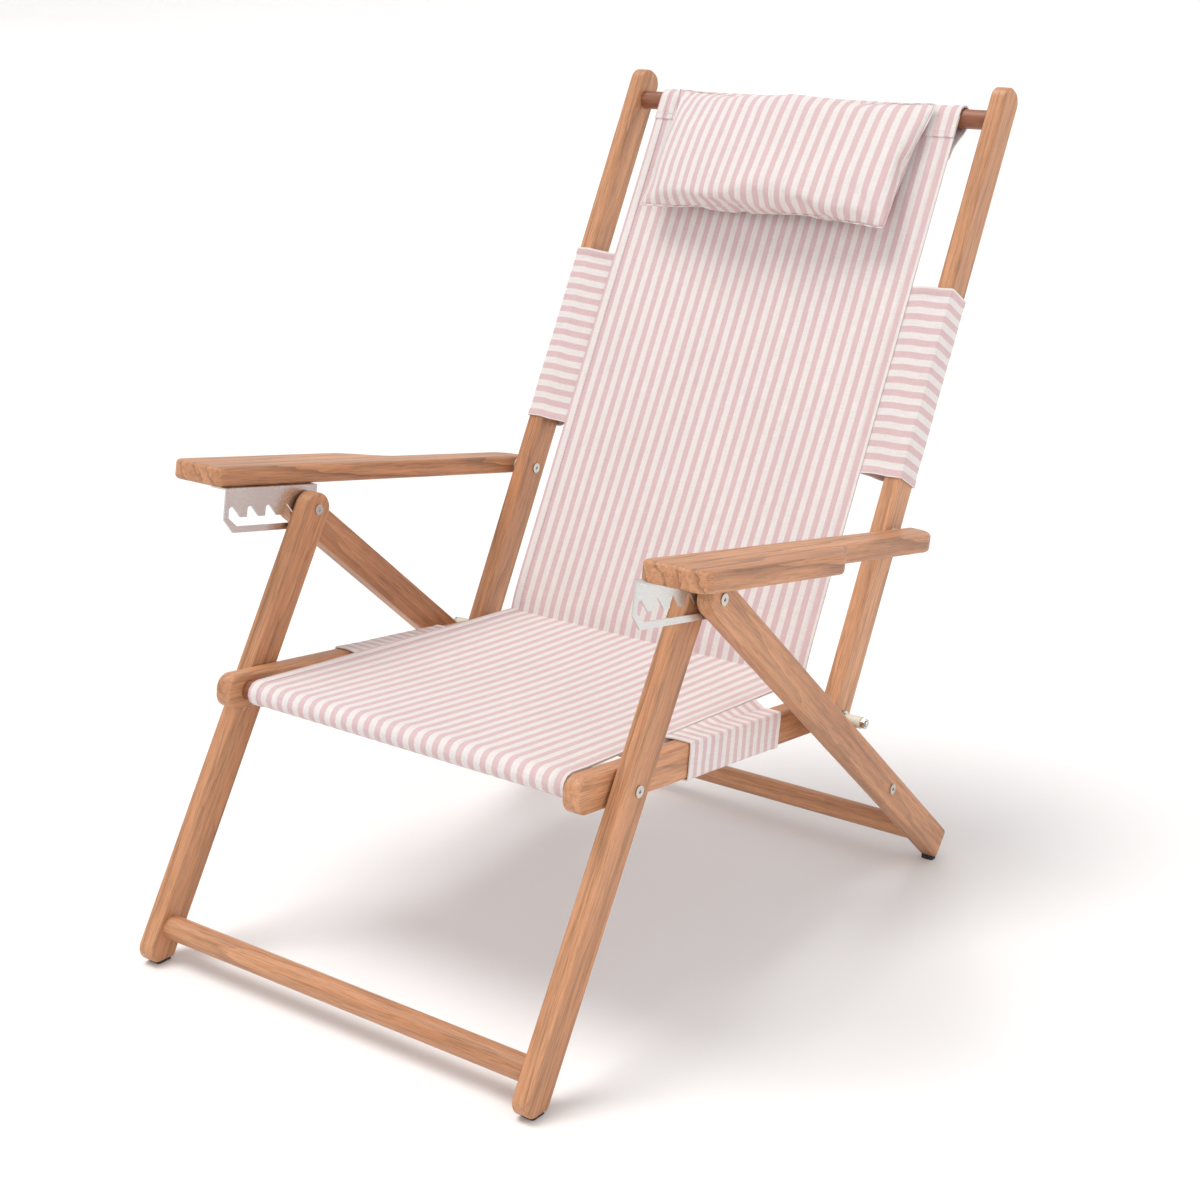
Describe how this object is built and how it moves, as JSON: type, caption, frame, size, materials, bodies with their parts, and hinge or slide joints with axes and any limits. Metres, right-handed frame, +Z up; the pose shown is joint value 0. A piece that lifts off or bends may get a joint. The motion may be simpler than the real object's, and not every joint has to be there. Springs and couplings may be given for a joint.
{
  "type": "beach chair",
  "caption": "Low folding beach chair with a hardwood frame, striped canvas sling and wraps, a head pillow and notched armrest catches that set the recline.",
  "frame": {"origin": "on the floor, at the centre of the chair's box seen from above", "axes": "+Z up; the sitter faces -Y; +X is the sitter's left hand"},
  "size_m": [0.634, 0.8299, 0.8345],
  "materials": {
    "oiled_hardwood": "oiled satin",
    "dowel_wood": "oiled satin",
    "striped_canvas": "woven matte",
    "zinc_steel": "zinc plated",
    "stainless_sheet": "brushed",
    "nylon": "matte",
    "black_rubber": "matte"
  },
  "bodies": {
    "front_frame": {"front_leg_left": "oiled_hardwood", "front_leg_right": "oiled_hardwood", "front_stretcher": "dowel_wood", "front_foot_pads": "black_rubber", "leg_washers": "zinc_steel", "head_bolt_left": "zinc_steel", "head_bolt_right": "zinc_steel"},
    "rear_frame": {"rear_leg_left": "oiled_hardwood", "rear_leg_right": "oiled_hardwood", "rear_stretcher": "dowel_wood", "rear_foot_pads": "black_rubber", "head_bolt_cap_left": "zinc_steel", "head_bolt_cap_right": "zinc_steel", "stay_bolt_left": "zinc_steel", "stay_bolt_right": "zinc_steel"},
    "seat_frame": {"seat_rail_left": "oiled_hardwood", "seat_rail_right": "oiled_hardwood", "seat_front_dowel": "dowel_wood", "seat_bolt_left": "zinc_steel", "seat_bolt_right": "zinc_steel", "seat_barrel_nut_left": "zinc_steel", "seat_barrel_nut_right": "zinc_steel", "seat_sling": "striped_canvas", "seat_wrap_left": "striped_canvas", "seat_wrap_right": "striped_canvas"},
    "hinge_bolts": {"hinge_bolt_left": "zinc_steel", "hinge_bolt_right": "zinc_steel", "nylon_roller_left": "nylon", "nylon_roller_right": "nylon", "lock_nut_left": "zinc_steel", "lock_nut_right": "zinc_steel", "hinge_washers": "zinc_steel"},
    "back_frame": {"back_rail_left": "oiled_hardwood", "back_rail_right": "oiled_hardwood", "top_dowel": "dowel_wood", "back_sling": "striped_canvas", "head_pillow": "striped_canvas", "back_wrap_left": "striped_canvas", "back_wrap_right": "striped_canvas"},
    "stay_links": {"stay_link_left": "stainless_sheet", "stay_link_right": "stainless_sheet"},
    "arm_bolts": {"arm_bolt_left": "zinc_steel", "arm_bolt_right": "zinc_steel"},
    "arm_spacers": {"arm_spacer_left": "nylon", "arm_spacer_right": "nylon"},
    "armrest_left": {"armrest_left": "oiled_hardwood", "arm_insert_left": "zinc_steel", "catch_plate_left": "stainless_sheet", "catch_screws_left": "zinc_steel"},
    "armrest_right": {"armrest_right": "oiled_hardwood", "arm_insert_right": "zinc_steel", "catch_plate_right": "stainless_sheet", "catch_screws_right": "zinc_steel"}
  },
  "joints": [
    {"name": "rear_fold", "type": "hinge", "parent": "front_frame", "child": "rear_frame", "pos_m": [0, -0.1722, 0.4126], "axis": [-1, 0, 0], "range_deg": [0, 77.5]},
    {"name": "seat_fold", "type": "hinge", "parent": "front_frame", "child": "seat_frame", "pos_m": [0, -0.26185, 0.25479], "axis": [-1, 0, 0], "range_deg": [0, 91.46], "deforming": ["seat_sling"]},
    {"name": "back_fold", "type": "hinge", "parent": "seat_frame", "child": "hinge_bolts", "pos_m": [0, 0.09617, 0.2181], "axis": [1, 0, 0], "range_deg": [0, 99.01], "deforming": ["back_sling"]},
    {"name": "recline", "type": "hinge", "parent": "hinge_bolts", "child": "back_frame", "pos_m": [0, 0.09617, 0.2181], "axis": [-1, 0, 0], "range_deg": [0, 35.7]},
    {"name": "stay_fold", "type": "hinge", "parent": "seat_frame", "child": "stay_links", "pos_m": [0, 0.09617, 0.2181], "axis": [-1, 0, 0], "range_deg": [0, 94.21]},
    {"name": "arm_swing", "type": "hinge", "parent": "back_frame", "child": "arm_bolts", "pos_m": [0, 0.18334, 0.39142], "axis": [-1, 0, 0], "range_deg": [0, 108.01]},
    {"name": "arm_level", "type": "hinge", "parent": "arm_bolts", "child": "arm_spacers", "pos_m": [0, 0.18334, 0.39142], "axis": [1, 0, 0], "range_deg": [0, 26.91]},
    {"name": "arm_lift_left", "type": "hinge", "parent": "arm_spacers", "child": "armrest_left", "pos_m": [0, 0.18334, 0.39142], "axis": [-1, 0, 0], "range_deg": [0, 35]},
    {"name": "arm_lift_right", "type": "hinge", "parent": "arm_spacers", "child": "armrest_right", "pos_m": [0, 0.18334, 0.39142], "axis": [-1, 0, 0], "range_deg": [0, 35]}
  ],
  "couplings": [
    {"joint": "seat_fold", "follows": "rear_fold", "ratio": 1.18},
    {"joint": "back_fold", "follows": "rear_fold", "ratio": 1.2774},
    {"joint": "stay_fold", "follows": "rear_fold", "ratio": 1.2155},
    {"joint": "arm_swing", "follows": "rear_fold", "ratio": 1.3935},
    {"joint": "arm_level", "follows": "recline", "ratio": 0.7535}
  ]
}
